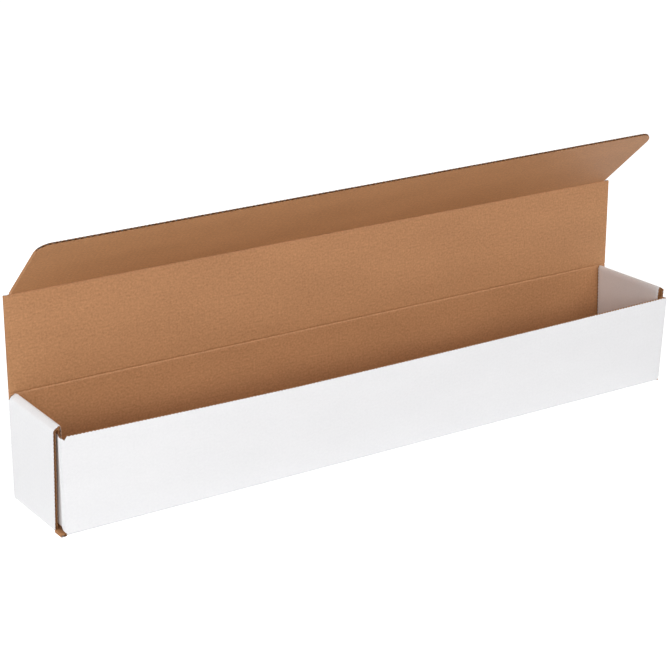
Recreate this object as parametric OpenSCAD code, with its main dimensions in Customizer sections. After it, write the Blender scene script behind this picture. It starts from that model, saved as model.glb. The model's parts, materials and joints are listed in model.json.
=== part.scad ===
// Long corrugated mailer box: one die-cut blank with rolled ends, a hinged lid and a tuck flap.
// Millimetres, +X along the length, +Y to the back, +Z up, origin under the middle of the floor.

/* [Board] */
// Thickness of the corrugated board
board = 3; // [2:0.1:4]
// Slack between boards that lie face to face in a rolled end
layer_gap = 0.3; // [0.2:0.05:0.5]
// Distance from one flute of the board to the next
flute_pitch = 6.5; // [5:0.1:9]
// Thickness of the papers on both sides of the flutes
liner = 0.5; // [0.3:0.05:0.7]
// How far the open flutes are cut into the board's edges
flute_depth = 4; // [2:0.5:8]

/* [Tray] */
// Length over the two end walls
length = 780; // [500:5:1000]
// Depth over the front and back walls
depth = 111; // [95:1:160]
// Height of the rolled ends and of the back wall
end_h = 113; // [85:1:160]
// How far the front wall's cut edge lies below the rolled ends
front_drop = 11.5; // [6:0.5:16]

/* [Rolled ends] */
// Distance from the front face back to the front ends of the rolls
end_setback = 7.6; // [7:0.1:16]
// Distance from the front face back to the front edges of the end walls at the floor
foot_setback = 14.6; // [8:0.1:24]
// Distance from the back face to the back edges of the outer end walls
end_back_gap = 0.6; // [0.3:0.1:2]
// Clearance between the inner end panels and the back wall
inner_back_gap = 1.5; // [0.5:0.1:4]
// How much lower the outer crease of a roll lies than its inner crease
roll_drop = 2.2; // [0.5:0.1:4]
// Inside radius of the two creases of a roll
crease_r = 0.6; // [0.3:0.1:0.9]

/* [Dust flaps] */
// Space between the front and back dust flaps inside a rolled end
dust_gap = 12; // [4:1:24]
// How much lower a dust flap's free edge is than its fold
dust_taper = 8; // [2:0.5:14]
// How far the top of a front dust flap rises behind its fold
dust_rise = 2.2; // [0.5:0.1:4]
// Distance from the fold back to the highest point of a dust flap
dust_crest = 14; // [6:1:20]
// Depth of the V cut where the front wall meets its dust flaps
notch = 3; // [1.5:0.1:5]
// How far the lower edges of the dust flaps stay above the floor
dust_lift = 4; // [1:0.5:10]
// Reach of the slanted cut at the lower ends of the front wall
foot_notch = 5; // [2:0.5:8]
// How far the back dust flaps stay below the underside of the roll
back_dust_drop = 2.8; // [1:0.1:12]

/* [Lock tabs] */
// Width of one lock tab under an inner end panel
tab_w = 26; // [16:1:30]
// Distance between the middles of the two lock tabs
tab_pitch = 46; // [36:1:48]
// How far the ends of the tabs stay above the underside of the floor
tab_recess = 0.6; // [0.3:0.1:1.2]
// Clearance round a lock tab in its floor slot
slot_gap = 0.4; // [0.2:0.1:1]

/* [Lid] */
// How far the open lid leans back from upright, in degrees
lid_lean = 0; // [0:0.5:20]
// How far the lid's sides stay inside the ends of the tray
lid_inset = 1.3; // [0.5:0.1:4]
// Clearance between a hinged panel and the board that carries it
crease_gap = 0.3; // [0.2:0.05:0.6]

/* [Tuck flap] */
// Angle between the flap and the plane of the lid, in degrees
flap_bend = 49.5; // [0:0.5:90]
// Clearance between the tucked flap and the front wall
flap_clear = 0.6; // [0.3:0.1:1.5]
// Clearance between the tucked flap's sides and the front dust flaps
flap_side = 2; // [0.5:0.1:6]
// Height of the tucked flap's free edge above the floor
flap_floor_gap = 1; // [0.6:0.2:30]
// Radius of the flap's free corners
flap_corner_r = 17; // [5:1:40]

/* [Hidden] */
$fn = 48;

// Three boards make a rolled end: the outer wall, a dust flap and the inner panel
end_t = 3 * board + 2 * layer_gap;
inner_x = length / 2 - end_t;
roll_r = board + crease_r;

// Centres of the two creases of a roll, in its section; the straight walls end at their heights
outer_crease = [length / 2 - roll_r, end_h - roll_r - roll_drop];
inner_crease = [inner_x + roll_r, end_h - roll_r];

// The front and back walls end inside the outer end walls and fold into the dust flaps there
wall_l = length - 2 * (board + layer_gap);
straight_l = wall_l - 2 * board;
front_h = end_h - front_drop;
panel_z = board + layer_gap;

// Front and back edges of the end walls, and the back edge of the roll and its inner panel
roll_front_y = -depth / 2 + end_setback;
foot_front_y = -depth / 2 + foot_setback;
end_back_y = depth / 2 - end_back_gap;
roll_back_y = depth / 2 - board - inner_back_gap;
tab_mid_y = (foot_front_y + roll_back_y) / 2;

// Dust flaps from the front and from the back share the depth inside the walls
dust_l = (depth - 2 * board - dust_gap) / 2;
front_dust_h = front_h - notch;
back_dust_h = end_h - board - roll_drop - back_dust_drop;

// The back wall has shoulders as wide as the lid, just above the back edges of the end walls
shoulder_z = outer_crease.y + layer_gap;

// Crease of the lid, and the length that puts the closed lid's flap just behind the front wall
hinge_y = depth / 2 - board / 2;
hinge_z = end_h + crease_gap + board / 2;
lid_w = length - 2 * lid_inset;
lid_l = hinge_y + depth / 2 - board - flap_clear - board / 2;
flap_l = hinge_z - board - flap_floor_gap;
flap_w = straight_l - 2 * flap_side;

// Front edge of an end wall at one height: it slants from its foot up to the roll
function end_front_y(z) =
    foot_front_y + (roll_front_y - foot_front_y) * (z - board) / (outer_crease.y - board);

// One open flute is a triangle between the liners
flute_half_w = flute_pitch / 2 - liner;
flute_h = (board - 2 * liner) * flute_half_w * 2 / flute_pitch;

board_white = "WhiteSmoke";
board_kraft = "#B08054";

// Carries a section in the YZ plane along X
module along_x(from, to) {
    translate([from, 0, 0])
        rotate([90, 0, 90])
            linear_extrude(to - from)
                children();
}

// Carries a section in the XZ plane along Y
module along_y(from, to) {
    translate([0, to, 0])
        rotate([90, 0, 0])
            linear_extrude(to - from)
                children();
}

// Repeats a shape at both ends of the box
module both_ends() {
    for (side = [0, 1])
        mirror([side, 0, 0])
            children();
}

// Strip of board folded square: it runs back along -x and rises along +y from its rounded outer corner
module bent_strip(run, rise) {
    difference() {
        union() {
            translate([-run, 0])
                square([run - board, rise]);
            translate([-board, board])
                circle(board);
            translate([-2 * board, board])
                square([2 * board, rise - board]);
        }
        translate([-run - board, board])
            square([run, rise]);
    }
}

// Upright bar with both top corners rounded
module round_top(width, height, radius) {
    square([width, height - radius]);
    for (x = [radius, width - radius])
        translate([x, height - radius])
            circle(radius);
    translate([radius, height - 2 * radius])
        square([width - 2 * radius, 2 * radius]);
}

// One wave of the board in section: two open flutes that point in and out by turns
module flute_pair() {
    translate([-flute_pitch / 4, liner])
        polygon([[-flute_half_w, 0], [flute_half_w, 0], [0, flute_h]]);
    translate([flute_pitch / 4, board - liner])
        polygon([[-flute_half_w, 0], [0, -flute_h], [flute_half_w, 0]]);
}

// Row of whole waves along a run of cut edge
module flute_row(run) {
    waves = floor(run / flute_pitch);
    for (i = [0 : waves - 1])
        translate([(i - (waves - 1) / 2) * flute_pitch, 0])
            flute_pair();
}

// Floor with the back wall folded up from it, and the shoulders that carry the lid's corners
module back_wall() {
    along_x(-straight_l / 2, straight_l / 2)
        translate([depth / 2, 0])
            bent_strip(depth / 2 + board, end_h);
    translate([-lid_w / 2, depth / 2 - board, shoulder_z])
        cube([lid_w, board, end_h - shoulder_z]);
}

// Floor with the front wall folded up from it, and a slanted cut at each corner
module front_wall() {
    half = straight_l / 2;
    difference() {
        along_x(-half, half)
            mirror([1, 0])
                translate([depth / 2, 0])
                    bent_strip(depth / 2 + board, front_h);
        both_ends()
            along_y(-depth / 2 - board, -depth / 2 + 2 * board) {
                polygon([
                    [half - 2 * notch, front_h + notch], [half + notch, front_h + notch],
                    [half + notch, front_h - 2 * notch]
                ]);
                polygon([
                    [half - foot_notch - board, -board], [half + board, -board],
                    [half + board, foot_notch + board]
                ]);
            }
        translate([0, -depth / 2, front_h - flute_depth])
            linear_extrude(2 * flute_depth)
                flute_row(straight_l - 4 * notch);
    }
}

// Dust flap at the front right corner: the wall folds round into a panel that rises behind its fold
// and narrows to its free edge
module dust_flap(height, rise) {
    fold_y = board - depth / 2;
    free_y = fold_y + dust_l;
    intersection() {
        translate([wall_l / 2, -depth / 2, board + dust_lift])
            linear_extrude(height + rise)
                bent_strip(2 * board, board + dust_l);
        along_x(straight_l / 2 - board, wall_l / 2 + board)
            polygon([
                [fold_y - 2 * board, 0], [free_y + board, 0], [free_y + board, height - dust_taper],
                [free_y, height - dust_taper], [fold_y + dust_crest, height + rise],
                [fold_y, height], [fold_y - 2 * board, height]
            ]);
    }
}

// Outline of a roll at one reach from its creases: a slanted top between two legs
module roll_outline(reach, bottom) {
    slant = outer_crease - inner_crease;
    up = [-slant.y, slant.x] * reach / norm(slant);
    for (crease = [inner_crease, outer_crease])
        translate(crease)
            circle(reach);
    polygon([
        [inner_crease.x - reach, bottom], inner_crease - [reach, 0], inner_crease + up,
        outer_crease + up, outer_crease + [reach, 0], [outer_crease.x + reach, bottom]
    ]);
}

// Roll and inner panel of one end, with the outer wall that carries them
module roll_section() {
    difference() {
        roll_outline(roll_r, 0);
        roll_outline(crease_r, -board);
        translate([inner_x - board, -board])
            square([2 * board, board + panel_z]);
        translate([inner_x + board, -board])
            square([end_t, 2 * board]);
    }
}

// Two tabs under an inner panel, between two heights; slack widens them to the slots that they lock into
module lock_tabs(bottom, top, slack) {
    for (side = [-1, 1])
        translate([inner_x - slack, tab_mid_y + side * tab_pitch / 2 - tab_w / 2 - slack, bottom])
            cube([board + 2 * slack, tab_w + 2 * slack, top - bottom]);
}

// Open flutes in the front and back edges of an upright panel of an end, from its inner face at x
module end_flutes(x, back_y) {
    low_z = panel_z + board;
    waves = floor((outer_crease.y - low_z) / flute_pitch);
    for (i = [0 : waves - 1]) {
        z = low_z + (i + 1 / 2) * flute_pitch;
        for (y = [end_front_y(z), back_y])
            along_y(y - flute_depth, y + flute_depth)
                translate([x + board, z])
                    rotate(90)
                        flute_pair();
    }
}

// One end in one strip: floor, outer wall, roll and inner panel, with slanted front edges
module end_strip() {
    end_run = (length - straight_l) / 2;
    difference() {
        union() {
            along_y(roll_front_y, end_back_y)
                translate([length / 2, 0])
                    bent_strip(end_run, outer_crease.y);
            along_y(roll_front_y, roll_back_y)
                roll_section();
        }
        along_x(inner_x - board, length / 2 + board)
            polygon([
                [roll_front_y - board, -board], [foot_front_y, -board], [foot_front_y, board],
                [roll_front_y, outer_crease.y], [roll_front_y - board, outer_crease.y]
            ]);
        end_flutes(length / 2 - board, end_back_y);
        end_flutes(inner_x, roll_back_y);
    }
}

// Corner of the floor that lies bare in front of an end wall
module bare_corner() {
    translate([straight_l / 2 - board, -depth / 2, 0])
        cube([length / 2 - straight_l / 2 + board, foot_setback, board]);
}

// Floor with all the walls that fold up from it, cut through for the lock tabs
module floor_and_walls() {
    difference() {
        union() {
            translate([board - length / 2, board - depth / 2, 0])
                cube([length - 2 * board, depth - 2 * board, board]);
            front_wall();
            back_wall();
            both_ends() {
                end_strip();
                bare_corner();
            }
        }
        both_ends()
            lock_tabs(-board, board + layer_gap / 2, slot_gap);
    }
}

module tray() {
    color(board_white) {
        floor_and_walls();
        both_ends() {
            lock_tabs(tab_recess, panel_z + board, 0);
            dust_flap(front_dust_h, dust_rise);
            mirror([0, 1, 0])
                dust_flap(back_dust_h, 0);
        }
    }
}

// Panel that swings about the X axis and rises along Z, with a half-round edge on the axis
module hinged_panel(width, height) {
    along_x(-width / 2, width / 2) {
        circle(d = board);
        translate([-board / 2, 0])
            square([board, height]);
    }
}

module lid() {
    color(board_kraft)
        translate([0, hinge_y, hinge_z])
            rotate([-lid_lean, 0, 0])
                hinged_panel(lid_w, lid_l - board / 2 - crease_gap);
}

module tuck_flap() {
    color(board_kraft)
        translate([0, hinge_y, hinge_z])
            rotate([-lid_lean, 0, 0])
                translate([0, 0, lid_l])
                    rotate([flap_bend, 0, 0])
                        difference() {
                            intersection() {
                                hinged_panel(flap_w, flap_l);
                                along_y(-board, board)
                                    translate([-flap_w / 2, -board])
                                        round_top(flap_w, flap_l + board, flap_corner_r);
                            }
                            translate([0, -board / 2, flap_l - flute_depth])
                                linear_extrude(2 * flute_depth)
                                    flute_row(flap_w - 2 * flap_corner_r);
                        }
}

tray();
lid();
tuck_flap();
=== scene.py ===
import json
import bpy
import numpy as np
from mathutils import Matrix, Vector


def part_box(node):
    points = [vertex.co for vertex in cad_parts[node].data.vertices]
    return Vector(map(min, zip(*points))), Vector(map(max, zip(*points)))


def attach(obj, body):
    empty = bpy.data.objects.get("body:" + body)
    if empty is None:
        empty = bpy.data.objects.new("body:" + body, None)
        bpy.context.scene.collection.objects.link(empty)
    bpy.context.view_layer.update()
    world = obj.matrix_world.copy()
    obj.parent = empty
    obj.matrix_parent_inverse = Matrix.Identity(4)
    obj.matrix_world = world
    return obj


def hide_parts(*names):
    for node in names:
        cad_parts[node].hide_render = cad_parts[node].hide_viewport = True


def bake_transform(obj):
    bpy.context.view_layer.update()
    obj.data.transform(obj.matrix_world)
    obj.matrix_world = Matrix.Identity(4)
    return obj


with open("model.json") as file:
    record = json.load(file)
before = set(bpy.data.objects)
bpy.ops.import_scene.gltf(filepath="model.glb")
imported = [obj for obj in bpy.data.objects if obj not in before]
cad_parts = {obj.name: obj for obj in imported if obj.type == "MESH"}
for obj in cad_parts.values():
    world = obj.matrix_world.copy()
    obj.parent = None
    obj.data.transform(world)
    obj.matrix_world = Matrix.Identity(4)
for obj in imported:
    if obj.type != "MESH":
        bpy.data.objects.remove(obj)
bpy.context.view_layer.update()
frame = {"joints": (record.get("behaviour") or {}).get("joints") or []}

# the maths below is in millimetres, the meshes are in metres
metre = 0.001
trayTop = np.array(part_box("tray")[1]) / metre
hinges = {joint["name"]: np.array(joint["pos_m"]) / metre for joint in frame["joints"]}
lidAxis, flapAxis = hinges["lid_hinge"], hinges["tuck_flap_hinge"]
print("frame loaded, tray half length, half depth and height", trayTop.round(2))

# one sheet of fluted board: two liners and the wave between them, flutes along y of the flat blank
board = {
    "half": 1.5, "kraftHalf": 1.47, "liner": 0.28, "white": 0.12, "medium": 0.2, "pitch": 6.5,
    "closed": 0.3, "proud": 0.01,  # edge cut along the flutes
    "tooth": 3.9, "bite": 0.3, "crush": 0.5, "crushRun": 1.6,  # edge cut across them
    "sharpAngle": 38,
}
foldLength = board["half"] * np.pi / 2
waveStep = board["pitch"] / 8
pathSteps = 20  # a path is summed up in this many steps per millimetre
edgeRows = np.array((4.5, 2.8, 1.9, 1.2, 0.7, 0.3, 0.0))  # distances from a cut edge


def walkPath(start, heading, runs, s):
    # heading over arc length is a broken line, flat on straight runs and sloped on folds;
    # the place is its running integral and the normal points to the right of the walk
    lengths, turns = np.array(runs, float).T
    stops = np.concatenate(([0], np.cumsum(lengths)))
    headings = np.radians(heading + np.concatenate(([0], np.cumsum(turns))))
    fine = np.linspace(0, stops[-1], int(stops[-1] * pathSteps) + 2)
    middle = np.interp((fine[1:] + fine[:-1]) / 2, stops, headings)
    moves = np.stack((np.cos(middle), np.sin(middle)), -1) * np.diff(fine)[:, None]
    places = np.vstack((start, start + np.cumsum(moves, 0)))
    angle = np.interp(s, stops, headings)
    points = np.stack((np.interp(s, fine, places[:, 0]), np.interp(s, fine, places[:, 1])), -1)
    return points, np.stack((np.sin(angle), -np.cos(angle)), -1)


def cutRuns(runs, cells):
    # arc lengths that cut each run into its own number of equal cells
    stops = np.concatenate(([0], np.cumsum([length for length, turn in runs])))
    parts = [np.linspace(a, b, n, endpoint=False) for a, b, n in zip(stops[:-1], stops[1:], cells)]
    return np.concatenate(parts + [stops[-1:]])


def carry(axes, points, normals, across):
    # path in a plane carried along the third axis: place(u, v) = path(u) plus across(u, v) on that axis
    spine = np.zeros(across.shape + (3,))
    out = np.zeros(across.shape + (3,))
    spine[..., axes[0]], spine[..., axes[1]] = points[:, :1], points[:, 1:]
    out[..., axes[0]], out[..., axes[1]] = normals[:, :1], normals[:, 1:]
    spine[..., axes[2]] = across
    return spine, out


def boardSheet(spine, out, near, far, blank, keep=None):
    # slab between two offsets of one surface: spine(u, v) + offset(u, v) * out(u, v);
    # a cell that isn't kept is a hole, and each free edge of a kept cell gets a wall
    rows, cols = spine.shape[:2]
    keep = np.ones((rows - 1, cols - 1), bool) if keep is None else keep
    near, far = (np.broadcast_to(offset, (rows, cols))[..., None] for offset in (near, far))
    points = np.concatenate(((spine + far * out).reshape(-1, 3), (spine + near * out).reshape(-1, 3)))
    top = np.arange(rows * cols).reshape(rows, cols)
    low = top + rows * cols

    def quads(mask, *corners):
        return np.stack([corner[mask] for corner in corners], -1)

    padU = np.pad(keep, ((1, 1), (0, 0)))
    padV = np.pad(keep, ((0, 0), (1, 1)))
    a, b, c, d = top[:-1, :-1], top[1:, :-1], top[1:, 1:], top[:-1, 1:]
    faces = [quads(keep, a, b, c, d), quads(keep, *(corner + rows * cols for corner in (a, d, c, b)))]
    opens, ends = padU[1:] & ~padU[:-1], padU[:-1] & ~padU[1:]
    faces.append(quads(opens, top[:, :-1], top[:, 1:], low[:, 1:], low[:, :-1]))
    faces.append(quads(ends, top[:, 1:], top[:, :-1], low[:, :-1], low[:, 1:]))
    opens, ends = padV[:, 1:] & ~padV[:, :-1], padV[:, :-1] & ~padV[:, 1:]
    faces.append(quads(opens, top[1:, :], top[:-1, :], low[:-1, :], low[1:, :]))
    faces.append(quads(ends, top[:-1, :], top[1:, :], low[1:, :], low[:-1, :]))
    faces = np.concatenate(faces)
    # walk direction and carrying axis may be left handed, then every face turns over
    first = np.argwhere(keep)[0]
    corner = spine[first[0], first[1]]
    turn = np.cross(spine[first[0] + 1, first[1]] - corner, spine[first[0], first[1] + 1] - corner)
    if turn @ out[first[0], first[1]] < 0:
        faces = faces[:, ::-1]
    used, faces = np.unique(faces, return_inverse=True)
    both = np.concatenate((blank.reshape(-1, 2), blank.reshape(-1, 2)))
    return points[used], faces.reshape(-1, 4), both[used]


def mirrored(sheet):
    # the same sheet at the other end of the box, x to -x
    points, faces, blank = sheet
    return points * (-1, 1, 1), faces[:, ::-1], blank * (-1, 1)


def makePiece(name, sheets, material):
    # several sheets joined into one mesh, with their flat places in the blank as the UV map
    counts = np.cumsum([0] + [len(sheet[0]) for sheet in sheets])
    points = np.concatenate([sheet[0] for sheet in sheets]) * metre
    faces = np.concatenate([sheet[1] + shift for sheet, shift in zip(sheets, counts)])
    blank = np.concatenate([sheet[2] for sheet in sheets]) * metre
    mesh = bpy.data.meshes.new(name)
    mesh.vertices.add(len(points))
    mesh.loops.add(faces.size)
    mesh.polygons.add(len(faces))
    mesh.vertices.foreach_set("co", points.astype(np.float32).ravel())
    mesh.loops.foreach_set("vertex_index", faces.astype(np.int32).ravel())
    mesh.polygons.foreach_set("loop_start", np.arange(0, faces.size, 4, dtype=np.int32))
    layer = mesh.uv_layers.new(name="blank")
    layer.data.foreach_set("uv", blank[faces.ravel()].astype(np.float32).ravel())
    mesh.update(calc_edges=True)
    mesh.validate()
    mesh.shade_smooth()
    mesh.set_sharp_from_angle(angle=np.radians(board["sharpAngle"]))
    mesh.materials.append(material)
    piece = bpy.data.objects.new(name, mesh)
    bpy.context.scene.collection.objects.link(piece)
    return piece


def newLayers():
    # lists of sheets for the three layers of a board
    return {"white": [], "kraft": [], "flutes": []}


def teeth(u):
    # the cutting rule's bite: a cosine of the place along the edge
    return board["bite"] * np.cos(2 * np.pi * u / board["tooth"])


def crushed(distance):
    # how deep the cutting rule has pressed the white face: a bell curve of the distance from the cut edge
    return board["crush"] * np.exp(-(distance / board["crushRun"]) ** 2)


def pressedRows(low, high, count):
    # places across a sheet: equal shares from its low edge, then rows that close up on its cut edge
    bulk = low[:, None] + (high - low - edgeRows[0])[:, None] * np.linspace(0, 1, count)
    return np.concatenate((bulk, high[:, None] - edgeRows[1:]), 1)


def liners(parts, spine, out, blank, outer=board["half"], inner=-board["kraftHalf"], keep=None):
    # white liner inside the outer face of a sheet, kraft liner inside its inner face
    parts["white"].append(boardSheet(spine, out, outer - board["white"], outer, blank, keep))
    parts["kraft"].append(boardSheet(spine, out, inner, inner + board["liner"], blank, keep))


def linerBack(parts, spine, out, blank, outer):
    # brown back of the white liner, seen in a cut edge
    parts["flutes"].append(boardSheet(spine, out, outer - board["liner"], outer - board["white"], blank))


def flutes(parts, spine, out, blank, outer=board["half"], inner=-board["kraftHalf"], keep=None):
    # the medium: offset(u, v) = middle + room * sin(2 pi x / pitch),
    # x being the place across the flutes in the blank
    room = (outer - inner) / 2 - board["liner"] - board["medium"] / 2
    middle = (outer + inner) / 2 + room * np.sin(2 * np.pi * blank[..., 0] / board["pitch"])
    thin = board["medium"] / 2
    parts["flutes"].append(boardSheet(spine, out, middle - thin, middle + thin, blank, keep))


def closedEdge(parts, spine, out, blank, outer=board["half"], inner=-board["kraftHalf"]):
    # an edge cut along the flutes, pressed shut between the liners
    parts["flutes"].append(boardSheet(spine, out, inner + board["liner"], outer - board["white"], blank))


# materials
def mathNode(tree, operation, first, second=None):
    # one math node; a number goes on its socket and a socket is linked
    node = tree.nodes.new("ShaderNodeMath")
    node.operation = operation
    for socket, value in zip(node.inputs, (first, second)):
        if value is None:
            continue
        if isinstance(value, (int, float)):
            socket.default_value = value
        else:
            tree.links.new(value, socket)
    return node.outputs[0]


def noiseOn(tree, vector, stretch, detail):
    # noise on the blank, stretched by its scale along each axis
    scale = tree.nodes.new("ShaderNodeMapping")
    scale.inputs["Scale"].default_value = stretch
    tree.links.new(vector, scale.inputs["Vector"])
    noise = tree.nodes.new("ShaderNodeTexNoise")
    noise.inputs["Scale"].default_value = 1
    noise.inputs["Detail"].default_value = detail
    tree.links.new(scale.outputs[0], noise.inputs["Vector"])
    return mathNode(tree, "SUBTRACT", noise.outputs[0], 0.5)


def newGroup(name, inputs, outputs):
    # an empty node group with its named sockets
    tree = bpy.data.node_groups.new(name, "ShaderNodeTree")
    for label, kind in inputs:
        tree.interface.new_socket(name=label, in_out="INPUT", socket_type=kind)
    for label in outputs:
        tree.interface.new_socket(name=label, in_out="OUTPUT", socket_type="NodeSocketFloat")
    return tree, tree.nodes.new("NodeGroupInput").outputs, tree.nodes.new("NodeGroupOutput").inputs


# noise scales per metre of the blank, and how much each goes into the tone
grain = {
    "fibre": (110, 520, 1), "speckle": (430, 430, 1), "cloud": (9, 26, 1), "fleck": (760, 900, 1),
    "fibreShare": 0.35, "speckleShare": 0.9, "cloudShare": 0.45, "fleckFrom": 0.19, "fleckGain": 9,
}


def paperGrain():
    # tone and height of paper: fibres along x of the blank, grain, slow clouds and a few dark flecks
    tree, given, result = newGroup(
        "paperGrain",
        [("Blank", "NodeSocketVector"), ("Grain", "NodeSocketFloat"), ("Flecks", "NodeSocketFloat")],
        ["Tone", "Height"],
    )
    blank = given["Blank"]
    fibre = mathNode(tree, "MULTIPLY", noiseOn(tree, blank, grain["fibre"], 3), grain["fibreShare"])
    speckle = mathNode(tree, "MULTIPLY", noiseOn(tree, blank, grain["speckle"], 3), grain["speckleShare"])
    cloud = mathNode(tree, "MULTIPLY", noiseOn(tree, blank, grain["cloud"], 2), grain["cloudShare"])
    spot = mathNode(tree, "SUBTRACT", noiseOn(tree, blank, grain["fleck"], 1), grain["fleckFrom"])
    fleck = mathNode(tree, "MULTIPLY", mathNode(tree, "MAXIMUM", spot, 0), grain["fleckGain"])
    fine = mathNode(tree, "ADD", fibre, speckle)
    slow = mathNode(tree, "ADD", cloud, 0.5)
    tone = mathNode(tree, "ADD", mathNode(tree, "MULTIPLY", fine, given["Grain"]), slow)
    marked = mathNode(tree, "SUBTRACT", tone, mathNode(tree, "MULTIPLY", fleck, given["Flecks"]))
    tree.links.new(marked, result["Tone"])
    tree.links.new(fine, result["Height"])
    return tree


marks = {"wander": (40, 7, 1), "weight": (6, 11, 1)}  # noise scales per metre


def fluteMarks():
    # ridge of the wave under a liner: a sine across the flutes whose phase wanders a little
    tree, given, result = newGroup(
        "fluteMarks",
        [("Blank", "NodeSocketVector"), ("Pitch", "NodeSocketFloat")],
        ["Ridge"],
    )
    split = tree.nodes.new("ShaderNodeSeparateXYZ")
    tree.links.new(given["Blank"], split.inputs[0])
    wander = noiseOn(tree, given["Blank"], marks["wander"], 1)
    turns = mathNode(tree, "ADD", mathNode(tree, "DIVIDE", split.outputs["X"], given["Pitch"]), wander)
    ridge = mathNode(tree, "SINE", mathNode(tree, "MULTIPLY", turns, 2 * np.pi))
    weight = mathNode(tree, "ADD", noiseOn(tree, given["Blank"], marks["weight"], 1), 0.5)
    tree.links.new(mathNode(tree, "MULTIPLY", ridge, weight), result["Ridge"])
    return tree


grainGroup, marksGroup = paperGrain(), fluteMarks()
roughSpread, bumpDepth = 0.3, 0.0003  # roughness that the grain adds, and the bump's full height in metres


def paper(name, look):
    # liner or medium: the tone mixes two colours of the sheet, and grain and ridges raise its surface
    material = bpy.data.materials.new(name)
    material.use_nodes = True
    tree = material.node_tree
    shader = tree.nodes["Principled BSDF"]
    shader.inputs["Specular IOR Level"].default_value = look["gloss"]
    blank = tree.nodes.new("ShaderNodeUVMap")
    blank.uv_map = "blank"
    grainNode = tree.nodes.new("ShaderNodeGroup")
    grainNode.node_tree = grainGroup
    grainNode.inputs["Grain"].default_value = look["grain"]
    grainNode.inputs["Flecks"].default_value = look["flecks"]
    marksNode = tree.nodes.new("ShaderNodeGroup")
    marksNode.node_tree = marksGroup
    marksNode.inputs["Pitch"].default_value = board["pitch"] * metre
    for group in (grainNode, marksNode):
        tree.links.new(blank.outputs[0], group.inputs["Blank"])
    streak = mathNode(tree, "MULTIPLY", marksNode.outputs["Ridge"], look["streak"])
    tone = mathNode(tree, "ADD", grainNode.outputs["Tone"], streak)
    mix = tree.nodes.new("ShaderNodeMix")
    mix.data_type = "RGBA"
    mix.inputs["A"].default_value = look["dark"] + (1,)
    mix.inputs["B"].default_value = look["light"] + (1,)
    tree.links.new(tone, mix.inputs["Factor"])
    tree.links.new(mix.outputs["Result"], shader.inputs["Base Color"])
    spread = mathNode(tree, "MULTIPLY", grainNode.outputs["Height"], roughSpread)
    rough = mathNode(tree, "ADD", spread, look["rough"])
    tree.links.new(rough, shader.inputs["Roughness"])
    ripple = mathNode(tree, "MULTIPLY", marksNode.outputs["Ridge"], look["ripple"])
    height = mathNode(tree, "ADD", grainNode.outputs["Height"], ripple)
    bump = tree.nodes.new("ShaderNodeBump")
    bump.inputs["Strength"].default_value = look["bump"]
    bump.inputs["Distance"].default_value = bumpDepth
    tree.links.new(height, bump.inputs["Height"])
    tree.links.new(bump.outputs[0], shader.inputs["Normal"])
    return material


whiteLook = {
    "dark": (0.80, 0.80, 0.815), "light": (0.89, 0.89, 0.90), "rough": 0.6, "gloss": 0.3,
    "grain": 1.0, "flecks": 0.12, "streak": 0.04, "bump": 0.12, "ripple": 0.5,
}
kraftLook = {
    "dark": (0.36, 0.168, 0.068), "light": (0.585, 0.292, 0.132), "rough": 0.6, "gloss": 0.45,
    "grain": 1.7, "flecks": 0.4, "streak": 0.025, "bump": 0.3, "ripple": 0.5,
}
mediumLook = {
    "dark": (0.32, 0.148, 0.062), "light": (0.51, 0.25, 0.112), "rough": 0.85, "gloss": 0.15,
    "grain": 1.0, "flecks": 0.3, "streak": 0.0, "bump": 0.25, "ripple": 0.0,
}
whitePaper = paper("white_liner_paper", whiteLook)
kraftPaper = paper("kraft_liner_paper", kraftLook)
mediumPaper = paper("kraft_medium_paper", mediumLook)
print("materials made")


def boardPieces(node, prefix, parts):
    # the three layers of a panel as pieces that stand for its node and ride on the body of that name
    made = [
        makePiece(f"{prefix}_white_liner", parts["white"], whitePaper),
        makePiece(f"{prefix}_kraft_liner", parts["kraft"], kraftPaper),
        makePiece(f"{prefix}_flutes", parts["flutes"], mediumPaper),
    ]
    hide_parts(node)
    for piece in made:
        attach(piece, node)
        print(piece.name, len(piece.data.polygons), "faces")


# tray sizes as in the part's source, then what the empty box in the photograph does with them
tray = {
    "layerGap": 0.3, "frontDrop": 11.5, "setback": 7.6, "footSetback": 14.6, "backGap": 0.6,
    "innerGap": 1.5, "rollDrop": 2.2, "creaseRadius": 0.6, "creaseHalf": 5.0, "shoulder": 107.5,
    "dustGap": 12.0, "dustTaper": 8.0, "dustRise": 2.2, "dustCrest": 14.0, "dustFoot": 7.0,
    "backDustTop": 105.0,
    "tabWidth": 26.0, "tabPitch": 46.0, "tabRecess": 0.6, "slotGap": 0.4, "slotWave": 26.0,
}
settled = {
    "bow": 5.8, "lift": 2.8, "liftFrom": -120.0, "liftRun": 260.0, "liftFade": 40.0,  # front wall
    "endLift": (1.9, 1.3), "endLiftSlope": 0.012, "cornerEnd": (390.0, 384.2),  # left and right end
    "twist": 0.068, "frontTwist": 0.125, "twistFrom": 250.0, "twistRun": 130.0, "twistFade": 10.0,
    "tuckIn": 1.5, "tuckRun": 7.0, "tuckPress": 0.5,  # front dust flaps
    # places along the front wall's edge from each fold, and how high the edge stands there
    "notchAt": (-2.4, 2.2, 4.8), "notchLeft": (0.6, -3.5, 0.0), "notchRight": (-0.6, -0.4, 0.0),
    "ridgeRadius": 1.0, "ridgePress": 0.6, "ridgeRun": 2.5,  # top of the rolled ends
}
thick = 2 * board["half"]
halfLength, halfDepth, endHeight = trayTop
lidHalf, flapHalf = (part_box(node)[1][0] / metre for node in ("lid", "tuck_flap"))
wallEnd = halfLength - thick - tray["layerGap"]
straight = wallEnd - thick
frontHeight = endHeight - tray["frontDrop"]
panelFoot = thick + tray["layerGap"]
dustEnd = tray["dustGap"] / 2
dustRun = halfDepth - thick - dustEnd
creaseFrom = lidAxis[2] - tray["creaseHalf"]
tuckRun = settled["tuckRun"]
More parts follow.
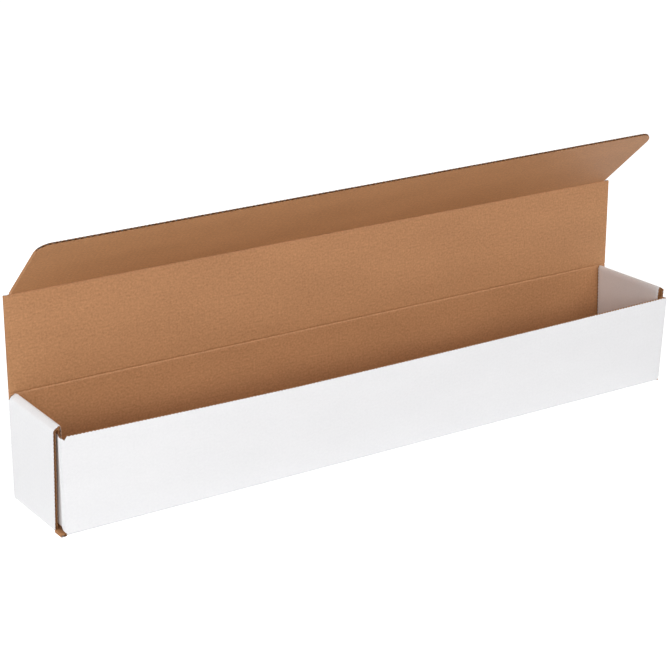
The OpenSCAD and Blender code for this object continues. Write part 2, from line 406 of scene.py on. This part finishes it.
wrapRuns = [
    (dustRun - tuckRun, 0), (tuckRun, 0), (foldLength, 90), (2 * straight, 0), (foldLength, 90),
    (tuckRun, 0), (dustRun - tuckRun, 0),
]
wallFrom = dustRun + foldLength
wallTo = wallFrom + 2 * straight
wrapMiddle = (wallFrom + wallTo) / 2
wrapLength = wallTo + wallFrom
floorFlat = halfDepth - thick
blankFold = floorFlat + foldLength
trayParts = newLayers()


def addToTray(parts, *moves):
    # the sheets of one panel go into the tray, once for each way they are moved
    for layer, sheets in parts.items():
        trayParts[layer] += [move(sheet) for move in moves for sheet in sheets]


def frontTop(s):
    # full height along the wall less the teeth, a notch about each fold as a broken line,
    # then the dust flap's edge, which falls from its crest to its free end
    inside = np.minimum(s - wallFrom, wallTo - s)
    sides = (settled["notchLeft"], settled["notchRight"])
    left, right = (np.interp(inside, settled["notchAt"], depths) for depths in sides)
    past = np.maximum(0, -inside - tray["dustCrest"]) / (wallFrom - tray["dustCrest"])
    edge = np.where(s < wrapMiddle, left, right) - (tray["dustRise"] + tray["dustTaper"]) * past
    return frontHeight + edge + np.where(inside > settled["notchAt"][-1], teeth(s), 0)


def backTop(s):
    # the wall stops where the lid's crease begins, and the dust flaps fall to their free ends
    past = np.maximum(0, -np.minimum(s - wallFrom, wallTo - s))
    return np.where(past > 0, tray["backDustTop"] - tray["dustTaper"] * past / wallFrom, creaseFrom)


def bowed(spine):
    # the front wall stands out in a parabola of x that grows with height, and its left end stands higher
    x, y, z = (spine[..., axis].copy() for axis in range(3))
    height = (z - thick) / (frontHeight - thick)
    spine[..., 1] -= settled["bow"] * np.maximum(0, 1 - (x / straight) ** 2) * height
    lift = settled["lift"] * np.clip((settled["liftFrom"] - x) / settled["liftRun"], 0, 1)
    spine[..., 2] += lift * height * np.clip(-y / settled["liftFade"], 0, 1)
    return spine


def twisted(sheet, twist=settled["twist"], fade=None):
    # the right end is racked: x moves against y in proportion to height, and not at all far from that end
    points, faces, blank = sheet
    x, y, z = points.T
    share = np.clip((x - settled["twistFrom"]) / settled["twistRun"], 0, 1) ** 2
    if fade is not None:
        share = share * np.clip((fade - y) / settled["twistFade"], 0, 1)
    move = -twist * y * z / endHeight * share
    return points + np.stack((move, 0 * y, 0 * z), -1), faces, blank


def lifted(sheet, lift):
    # an end stands a little high in proportion to height, and more so at the back
    points, faces, blank = sheet
    rise = (lift + settled["endLiftSlope"] * points[:, 1]) * points[:, 2] / endHeight
    return points + rise[:, None] * (0, 0, 1), faces, blank


def wrapSheet(side, s, top):
    # front (side -1) or back (side 1) wall with its two dust flaps, a path in plan carried up z;
    # behind their folds the front dust flaps slant inwards, pressed between the boards of the ends
    start = (side * (wallEnd - board["half"]), side * dustEnd)
    points, normals = walkPath(start, 90 * side, wrapRuns, s)
    past = np.maximum(0, -np.minimum(s - wallFrom, wallTo - s))
    foot = thick + (tray["dustFoot"] - thick) * np.clip(past / foldLength, 0, 1)
    across = pressedRows(foot, top(s), 4)
    spine, out = carry((0, 1, 2), points, normals, across)
    flat = np.broadcast_to(-side * (s - wrapMiddle)[:, None], across.shape)
    blank = np.stack((flat, side * (blankFold + across - thick)), -1)
    outer, inner = np.full_like(across, board["half"]), np.full_like(across, -board["kraftHalf"])
    if side > 0:
        return spine, out, blank, outer, inner
    tuck = np.clip((spine[..., 1] + halfDepth - thick) / tuckRun, 0, 1)
    spine[..., 0] -= np.sign(spine[..., 0]) * settled["tuckIn"] * tuck
    thin = 1 - settled["tuckPress"] * tuck
    return bowed(spine), out, blank, (outer - crushed(across[:, -1:] - across)) * thin, inner * thin


for side, top, cells in ((-1, frontTop, 1400), (1, backTop, 240)):
    parts = newLayers()
    wall = wrapSheet(side, cutRuns(wrapRuns, [5, 4, 8, cells, 8, 4, 5]), top)
    liners(parts, *wall)
    if side < 0:
        linerBack(parts, *(part[:, -3:] for part in wall[:4]))
    flutes(parts, *wrapSheet(side, np.arange(0, wrapLength, waveStep), top))
    for edge in (0, wrapLength - board["closed"]):
        closedEdge(parts, *wrapSheet(side, np.array((edge, edge + board["closed"])), top))
    rack = (settled["twist"], halfDepth - thick) if side > 0 else (settled["frontTwist"], None)
    addToTray(parts, lambda sheet: twisted(sheet, *rack))

# floor with its two bottom folds, cut through for the lock tabs
footFront, rollFront = tray["footSetback"] - halfDepth, tray["setback"] - halfDepth
endBack, rollBack = halfDepth - tray["backGap"], halfDepth - thick - tray["innerGap"]
innerFace = halfLength - 3 * thick - 2 * tray["layerGap"]
tabMiddle = (footFront + rollBack) / 2
tabEdges = np.array([tabMiddle + side * tray["tabPitch"] / 2 + edge * tray["tabWidth"] / 2
                     for side in (-1, 1) for edge in (-1, 1)])
slotEdges = tabEdges + tray["slotGap"] * np.array((-1, 1, -1, 1))
floorRuns = [(foldLength, 90), (2 * floorFlat, 0), (foldLength, 90)]


def between(values, edges):
    # true where a value lies in the first or the second pair of edges
    return ((values > edges[0]) & (values < edges[1])) | ((values > edges[2]) & (values < edges[3]))


def floorSheet(x):
    # the path goes down the front fold, back along the floor and up the back fold, carried along x
    s = np.concatenate((cutRuns(floorRuns, [8, 8, 8]), foldLength + floorFlat + slotEdges))
    s = np.sort(s)
    points, normals = walkPath((-halfDepth + board["half"], thick), -90, floorRuns, s)
    across = np.broadcast_to(x, (len(s), len(x)))
    spine, out = carry((1, 2, 0), points, normals, across)
    flat = np.broadcast_to((s - foldLength - floorFlat)[:, None], across.shape)
    middles = (s[1:] + s[:-1]) / 2 - foldLength - floorFlat
    inSlot = np.abs((x[1:] + x[:-1]) / 2) > innerFace - tray["slotGap"]
    keep = ~(between(middles, slotEdges)[:, None] & inSlot)
    return spine, out, np.stack((across, flat), -1), board["half"], -board["kraftHalf"], keep


slotFrom = innerFace - tray["slotGap"]
floorX = np.concatenate(((-straight,), np.linspace(-slotFrom, slotFrom, 13), (straight,)))
liners(trayParts, *floorSheet(floorX))
# the floor's wave is only seen near the slots
beforeSlot, besideSlot = np.arange(-tray["slotWave"], 0, waveStep), np.linspace(0, straight - slotFrom, 5)
waveX = slotFrom + np.concatenate((beforeSlot, besideSlot))
for waves in (waveX, -waveX[::-1]):
    flutes(trayParts, *floorSheet(waves))

# one end: floor, outer wall, roll and inner panel in one strip that ends in two lock tabs
rollRadius = tray["creaseRadius"] + thick
bendRadius, ridgeRadius = rollRadius - board["half"], settled["ridgeRadius"]
outerCrease = np.array((halfLength - rollRadius, endHeight - rollRadius - tray["rollDrop"]))
ridgeTop = endHeight - ridgeRadius - board["half"] * settled["ridgePress"]
# the roll's slope is the straight line that touches the arc of the outer crease and the arc of the ridge
slope = np.array((innerFace + board["half"] + ridgeRadius, ridgeTop)) - outerCrease
slopeRun = np.sqrt(slope @ slope - (bendRadius - ridgeRadius) ** 2)
slopeTurn = np.degrees(np.arctan2(slope[1], slope[0]) - np.arctan2(slopeRun, bendRadius - ridgeRadius))
endRuns = [
    (wallEnd - straight + tray["layerGap"], 0), (foldLength, 90), (outerCrease[1] - thick, 0),
    (bendRadius * np.radians(slopeTurn), slopeTurn), (slopeRun, 0),
    (ridgeRadius * np.radians(180 - slopeTurn), 180 - slopeTurn), (ridgeTop - panelFoot, 0),
    (panelFoot - tray["tabRecess"], 0),
]
endCells = [1, 8, 210, 6, 4, 12, 214, 1]
rollFrom = sum(length for length, turn in endRuns[:3])
ridgeAt = sum(length for length, turn in endRuns[:5]) + endRuns[5][0] / 2
tabFrom = sum(length for length, turn in endRuns[:7])


def endSheet(s):
    # path in elevation carried along y between a slanted front edge and a back edge; the roll and the panel
    # stop short of the back wall, and both edges are pressed
    points, normals = walkPath((straight, board["half"]), 0, endRuns, s)
    slant = np.clip((points[:, 1] - thick) / (outerCrease[1] - thick), 0, 1)
    front = footFront + (rollFront - footFront) * slant + teeth(s)
    rolled = s > rollFrom
    ones = np.ones((len(s), 1))
    across = np.concatenate((
        front[:, None] + edgeRows[::-1], tabEdges * ones,
        rollBack + (teeth(s) * rolled)[:, None] - edgeRows, endBack + teeth(s)[:, None] - edgeRows[2:],
    ), 1)
    spine, out = carry((0, 2, 1), points, normals, across)
    flat = np.broadcast_to((straight + s)[:, None], across.shape)
    back = np.where(rolled, rollBack, endBack)[:, None]
    ridge = (1 - (1 - settled["ridgePress"]) * np.exp(-((s - ridgeAt) / settled["ridgeRun"]) ** 2))[:, None]
    nearest = np.minimum(across - front[:, None], np.maximum(0, back - across))
    outer = board["half"] * ridge - crushed(nearest)
    inner = -board["kraftHalf"] * ridge + 0 * across
    middleS, middleY = (s[1:] + s[:-1]) / 2, (across[0, 1:] + across[0, :-1]) / 2
    toRollBack = np.arange(across.shape[1] - 1) < len(tabEdges) + 2 * len(edgeRows) - 1
    keep = (middleS < rollFrom)[:, None] | toRollBack
    keep &= (middleS < tabFrom)[:, None] | between(middleY, tabEdges)
    return spine, out, np.stack((flat, across), -1), outer, inner, keep


def cornerSheet(x):
    # the bare corner of the floor in front of an end wall, flat
    across = np.broadcast_to((-halfDepth, footFront), (len(x), 2))
    points = np.stack((x, np.full_like(x, board["half"])), -1)
    spine, out = carry((0, 2, 1), points, np.broadcast_to((0.0, -1.0), (len(x), 2)), across)
    return spine, out, np.stack((np.broadcast_to(x[:, None], across.shape), across), -1)


def shoulderSheet(x):
    # the part of the back wall under a corner of the lid, flat and upright
    across = np.broadcast_to((tray["shoulder"], creaseFrom), (len(x), 2))
    points = np.stack((x, np.full_like(x, lidAxis[1])), -1)
    spine, out = carry((0, 1, 2), points, np.broadcast_to((0.0, 1.0), (len(x), 2)), across)
    return spine, out, np.stack((np.broadcast_to(x[:, None], across.shape), blankFold + across - thick), -1)


def flatBoard(parts, flatSheet, end):
    # a flat patch beside the straight part of the box, closed at its cut end just proud of the liners
    liners(parts, *flatSheet(np.linspace(straight, end - board["proud"], 6)))
    flutes(parts, *flatSheet(np.linspace(straight, end - board["closed"], 12)))
    closedEdge(parts, *flatSheet(np.array((end - board["closed"], end))))


endLength = sum(length for length, turn in endRuns)
for turnEnd, lift, cornerEnd in zip((mirrored, twisted), settled["endLift"], settled["cornerEnd"]):
    parts = newLayers()
    wall = endSheet(cutRuns(endRuns, endCells))
    liners(parts, *wall)
    linerBack(parts, *(part[:, :3] for part in wall[:4]))
    flutes(parts, *endSheet(np.arange(0, endLength, waveStep)))
    flatBoard(parts, cornerSheet, cornerEnd)
    addToTray(parts, lambda sheet: lifted(turnEnd(sheet), lift))

parts = newLayers()
flatBoard(parts, shoulderSheet, lidHalf)
addToTray(parts, lambda sheet: sheet, mirrored)
boardPieces("tray", "tray", trayParts)

# lid: a flat panel that stands on its crease, with shoulders beside the flap
lid = {"shoulder": 1.0, "step": 0.001}
lidLength = flapAxis[2] - lidAxis[2]
lidParts = newLayers()


def lidSheet(x):
    # upright panel: place(x, d) = lid axis + d up;
    # its top is a step in x that leaves room for the flap's crease
    top = np.where(np.abs(x) > flapHalf, lidLength - lid["shoulder"], lidLength - tray["creaseHalf"])
    across = tray["creaseHalf"] + (top - tray["creaseHalf"])[:, None] * np.linspace(0, 1, 5)
    points = np.stack((x, np.full_like(x, lidAxis[1])), -1)
    spine, out = carry((0, 1, 2), points, np.broadcast_to((0.0, 1.0), points.shape), across + lidAxis[2])
    flat = np.broadcast_to(x[:, None], across.shape)
    return spine, out, np.stack((flat, blankFold + lidAxis[2] - thick + across), -1)


def fillPanel(parts, sheet, half):
    # the waves of a panel and its two closed side edges
    closed = board["closed"]
    flutes(parts, *sheet(np.arange(-half + closed, half - closed, waveStep)))
    for end in (-half, half - closed):
        closedEdge(parts, *sheet(np.array((end, end + closed))))


shoulderX = np.array((flapHalf + lid["step"], lidHalf))
lidX = np.concatenate((-shoulderX[::-1], np.linspace(-flapHalf, flapHalf, 25), shoulderX))
liners(lidParts, *lidSheet(lidX))
fillPanel(lidParts, lidSheet, lidHalf)
boardPieces("lid", "lid", lidParts)

# tuck flap: leans forward from the lid, a little less at its right end, with two round corners
flap = {
    "bendLeft": 49.5, "bendRight": 47.6, "floorGap": 1.0, "corner": (14.0, 21.0), "flare": (4.5, 3.5),
    "toothStop": 5.0,
}
flapLength = lidAxis[2] - thick - flap["floorGap"]
flapParts = newLayers()


def bendAt(x):
    # lean of the flap in degrees: a straight line from its left end to its right end
    return flap["bendLeft"] + (flap["bendRight"] - flap["bendLeft"]) * (x / flapHalf + 1) / 2


def leaning(turn):
    # unit vectors along and out of a panel that has turned forward from upright
    zero = np.zeros_like(turn)
    along = np.stack((zero, -np.sin(turn), np.cos(turn)), -1)
    return along, np.stack((zero, np.cos(turn), np.sin(turn)), -1)


def flapSheet(x):
    # leaning panel: place(x, e) = flap axis + e along the lean, a little wider as e grows;
    # its top is the length less a quarter circle at each side
    corner = np.where(x < 0, *flap["corner"])
    past = np.clip(np.abs(x) - flapHalf + corner, 0, corner)
    top = flapLength - corner + np.sqrt(corner ** 2 - past ** 2) + teeth(x) * (past < flap["toothStop"])
    across = pressedRows(np.full_like(x, tray["creaseHalf"]), top, 4)
    along, out = leaning(np.radians(np.broadcast_to(bendAt(x)[:, None], across.shape)))
    flare = np.where(x < 0, *flap["flare"])[:, None] / flapHalf
    wide = x[:, None] * (1 + flare * across / flapLength)
    spine = flapAxis + np.array((1.0, 0, 0)) * wide[..., None] + along * across[..., None]
    flat = np.broadcast_to(x[:, None], across.shape)
    blank = np.stack((flat, blankFold + flapAxis[2] - thick + across), -1)
    outer = board["half"] - crushed(across[:, -1:] - across)
    return spine, out, blank, outer, np.full_like(across, -board["kraftHalf"])


leftRound, rightRound = (
    flapHalf - corner + corner * np.sin(np.linspace(0, np.pi / 2, 15)) for corner in flap["corner"]
)
betweenRounds = np.linspace(-leftRound[0], rightRound[0], 1301)[1:-1]
flapX = np.concatenate((-leftRound[::-1], betweenRounds, rightRound))
leaf = flapSheet(flapX)
liners(flapParts, *leaf)
linerBack(flapParts, *(part[:, -3:] for part in leaf[:4]))
fillPanel(flapParts, flapSheet, flapHalf)
boardPieces("tuck_flap", "flap", flapParts)

# creases: strips of pressed board, each shaped about its joint's axis
crease = {"turnHalf": 2.0, "groove": 0.6, "grooveWidth": 0.9}


def creaseSheet(name, axis, angles, x):
    # strip about a joint axis: each place d along the sheet turns by angle(x) * smoothstep(d), a round fold
    d = np.linspace(-tray["creaseHalf"], tray["creaseHalf"], 33)
    share = np.clip((d + crease["turnHalf"]) / (2 * crease["turnHalf"]), 0, 1)
    along, out = leaning(np.radians(angles) * (share ** 2 * (3 - 2 * share))[:, None])
    spine = axis + np.array((1.0, 0, 0)) * x[None, :, None] + along * d[:, None, None]
    flat = np.stack(np.broadcast_arrays(x[None, :], (blankFold + axis[2] - thick + d)[:, None]), -1)
    groove = (crease["groove"] * np.exp(-(d / crease["grooveWidth"]) ** 2))[:, None]
    up = leaning(np.radians(angles.mean() / 2))[0]
    sheets = {
        "white": boardSheet(spine, out, board["half"] - board["white"], board["half"], flat),
        "kraft": boardSheet(spine, out, groove - board["kraftHalf"], board["half"] - board["white"], flat),
    }
    for layer, material in (("white", whitePaper), ("kraft", kraftPaper)):
        piece = makePiece(f"{name}_{layer}", [sheets[layer]], material)
        ends = (tuple((axis + side * crease["turnHalf"] * up) * metre) for side in (-1, 1))
        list(ends)
        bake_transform(piece)


lidCreaseX, flapCreaseX = (np.linspace(-half, half, 41) for half in (lidHalf, flapHalf))
creaseSheet("lid_crease", lidAxis, np.zeros_like(lidCreaseX), lidCreaseX)
creaseSheet("flap_crease", flapAxis, bendAt(flapCreaseX), flapCreaseX)
print("creases made")


def seenRays(tree):
    # 1 for what is seen by the camera, in a reflection or through glass, 0 for light that falls on the box
    path = tree.nodes.new("ShaderNodeLightPath")
    shine = mathNode(tree, "MAXIMUM", path.outputs["Is Glossy Ray"], path.outputs["Is Transmission Ray"])
    return mathNode(tree, "MAXIMUM", path.outputs["Is Camera Ray"], shine)


# ground: pale, with the object's shadow; where it is seen it is lifted to white
ground = {"half": 9.0, "drop": -0.0003, "pale": (0.93, 0.93, 0.93), "lift": 0.82}
corners = np.array(((-1, -1), (1, -1), (1, 1), (-1, 1))) * ground["half"]
groundMesh = bpy.data.meshes.new("floor")
groundMesh.from_pydata([(x, y, ground["drop"]) for x, y in corners], [], [(0, 1, 2, 3)])
groundMaterial = bpy.data.materials.new("pale_floor")
groundMaterial.use_nodes = True
groundTree = groundMaterial.node_tree
groundShader = groundTree.nodes["Principled BSDF"]
groundShader.inputs["Base Color"].default_value = ground["pale"] + (1,)
groundShader.inputs["Roughness"].default_value = 0.95
groundShader.inputs["Specular IOR Level"].default_value = 0.0
groundShader.inputs["Emission Color"].default_value = (1, 1, 1, 1)
groundLift = mathNode(groundTree, "MULTIPLY", seenRays(groundTree), ground["lift"])
groundTree.links.new(groundLift, groundShader.inputs["Emission Strength"])
groundMesh.materials.append(groundMaterial)
groundPlane = bpy.data.objects.new("floor", groundMesh)
bpy.context.scene.collection.objects.link(groundPlane)

# light: a dim white room, which looks white where it is seen, and five soft boxes
room = {"light": 0.16, "seen": 1.0}
world = bpy.data.worlds.new("studio")
world.use_nodes = True
roomTree = world.node_tree
roomShade = roomTree.nodes["Background"]
roomShade.inputs["Color"].default_value = (1, 1, 1, 1)
roomLift = mathNode(roomTree, "MULTIPLY", seenRays(roomTree), room["seen"] - room["light"])
roomTree.links.new(mathNode(roomTree, "ADD", roomLift, room["light"]), roomShade.inputs["Strength"])
bpy.context.scene.world = world


def softBox(name, place, aim, size, power):
    # an area lamp at a place, turned to face its aim
    lamp = bpy.data.lights.new(name, "AREA")
    lamp.shape = "RECTANGLE"
    lamp.size, lamp.size_y = size
    lamp.energy = power
    lampObject = bpy.data.objects.new(name, lamp)
    back = np.array(place, float) - np.array(aim, float)
    back /= np.linalg.norm(back)
    right = np.cross((0.0, 1.0, 0.0), back)
    right /= np.linalg.norm(right)
    turned = Matrix(np.stack((right, np.cross(back, right), back), -1).tolist()).to_4x4()
    turned.translation = place
    lampObject.matrix_world = turned
    bpy.context.scene.collection.objects.link(lampObject)


# a low, distant key from the front, a fill from the right, two boxes from the left, one over the floor
lamps = {
    "key": {"place": (-0.7, -4.0, 1.45), "aim": (0, 0, 0.12), "size": (2.2, 1.4), "power": 65},
    "right_front": {"place": (1.3, -2.2, 1.3), "aim": (0, 0, 0.12), "size": (1.0, 0.8), "power": 11},
    "left_behind": {"place": (-1.8, 1.1, 0.85), "aim": (-0.35, 0, 0.08), "size": (1.2, 1.0), "power": 18},
    "left_front": {"place": (-2.2, -1.1, 1.0), "aim": (-0.3, 0, 0.08), "size": (1.2, 1.0), "power": 12},
    "front_top": {"place": (0, -1.6, 2.4), "aim": (0, -0.9, 0), "size": (3.0, 1.6), "power": 16},
}
for name, lamp in lamps.items():
    softBox(name, **lamp)

# camera at the photograph's place
view = {
    "place": (-1.1308432, -1.6708612, 0.8424617),
    "right": (0.8357545, -0.5491024, -0.0009415),
    "down": (-0.1866572, -0.2824859, -0.9409361),
    "lens": 106.693, "sensor": 36.0,
}
cameraData = bpy.data.cameras.new("photo_camera")
cameraData.sensor_width = view["sensor"]
cameraData.lens = view["lens"]
camera = bpy.data.objects.new("photo_camera", cameraData)
ahead = np.cross(view["right"], view["down"])
turned = np.stack((view["right"], -np.array(view["down"]), -ahead), -1)
camera.matrix_world = Matrix.Translation(view["place"]) @ Matrix(turned.tolist()).to_4x4()
bpy.context.scene.collection.objects.link(camera)
bpy.context.scene.camera = camera
bpy.context.scene.view_settings.view_transform = "Standard"
print("floor, light and camera set")
